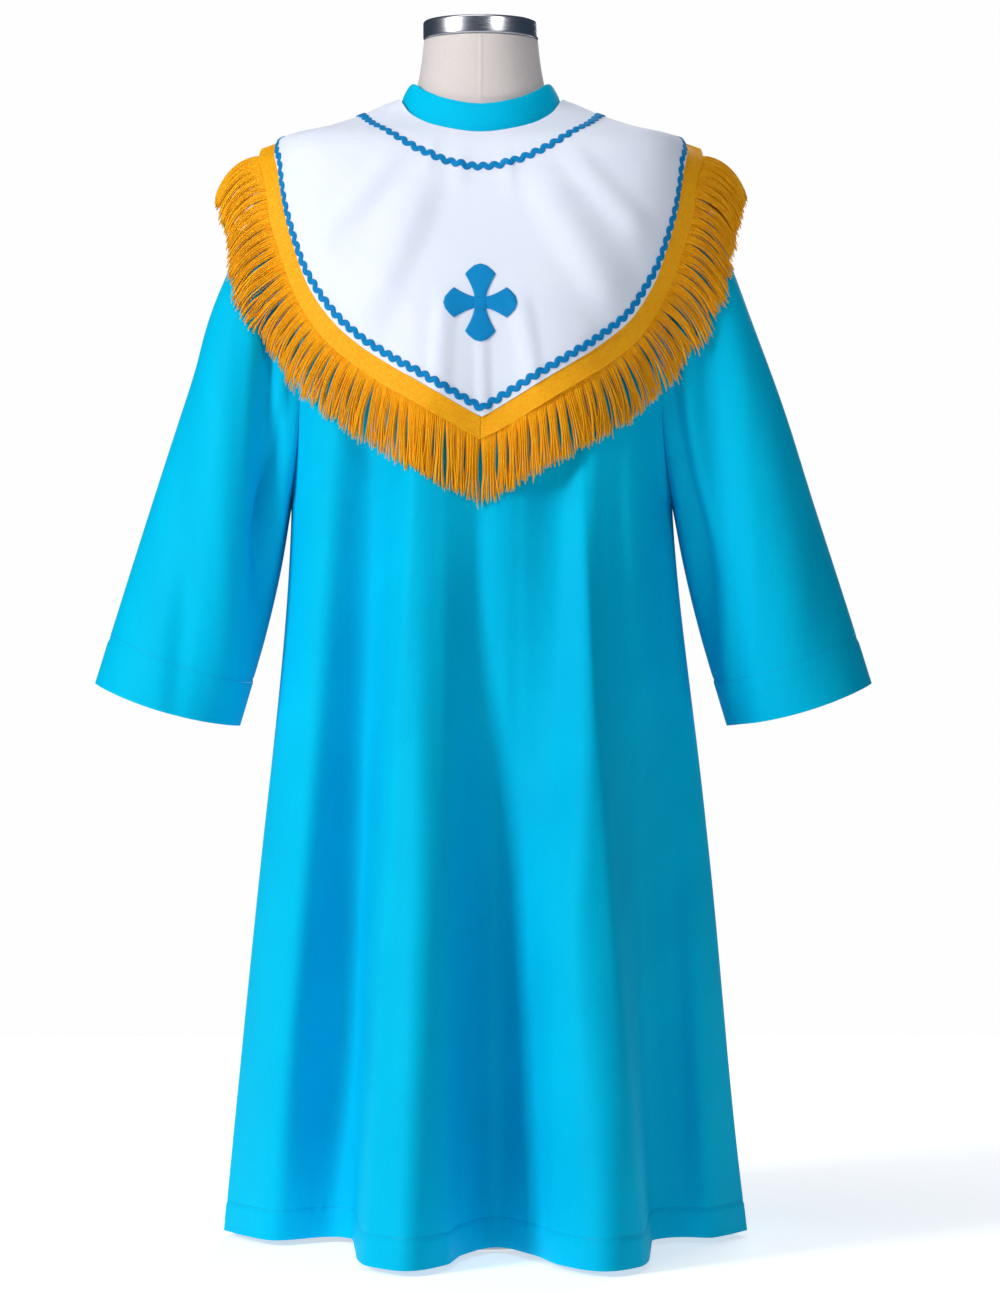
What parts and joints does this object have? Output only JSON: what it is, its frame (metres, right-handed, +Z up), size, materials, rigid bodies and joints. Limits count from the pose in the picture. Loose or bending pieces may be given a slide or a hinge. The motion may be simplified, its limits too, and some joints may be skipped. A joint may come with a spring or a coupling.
{
  "type": "altar server robe on a limbless dress form",
  "caption": "Turquoise altar server robe with wide sleeves and a white fringed cape bearing a cross, hung on a linen-covered limbless dress form with a round base.",
  "frame": {"origin": "on the floor under the stand's base, at the middle of the robe's length and width", "axes": "+Z up, the wearer faces -Y, +X is the wearer's left side"},
  "size_m": [0.804, 0.566, 1.2708],
  "materials": {
    "turquoise_gabardine": "smooth twill weave with a soft sheen",
    "white_gabardine": "smooth cool white twill weave, matt",
    "blue_rickrack": "woven zigzag braid and twill applique, matt",
    "gold_fringe": "woven rayon header with thread locks, silky",
    "form_linen": "plain weave linen cover, matt",
    "chrome": "polished",
    "stand_steel": "satin silver lacquer"
  },
  "bodies": {
    "root": {"robe_front": "turquoise_gabardine", "robe_back_left": "turquoise_gabardine", "robe_back_right": "turquoise_gabardine", "sleeve_left": "turquoise_gabardine", "sleeve_right": "turquoise_gabardine", "collar": "turquoise_gabardine", "cape": "white_gabardine", "rickrack_neck": "blue_rickrack", "rickrack_edge": "blue_rickrack", "cross": "blue_rickrack", "fringe_left": "gold_fringe", "fringe_right": "gold_fringe", "form_torso": "form_linen", "form_neck_cap": "chrome", "stand_pole": "stand_steel", "stand_base": "stand_steel"}
  },
  "joints": []
}
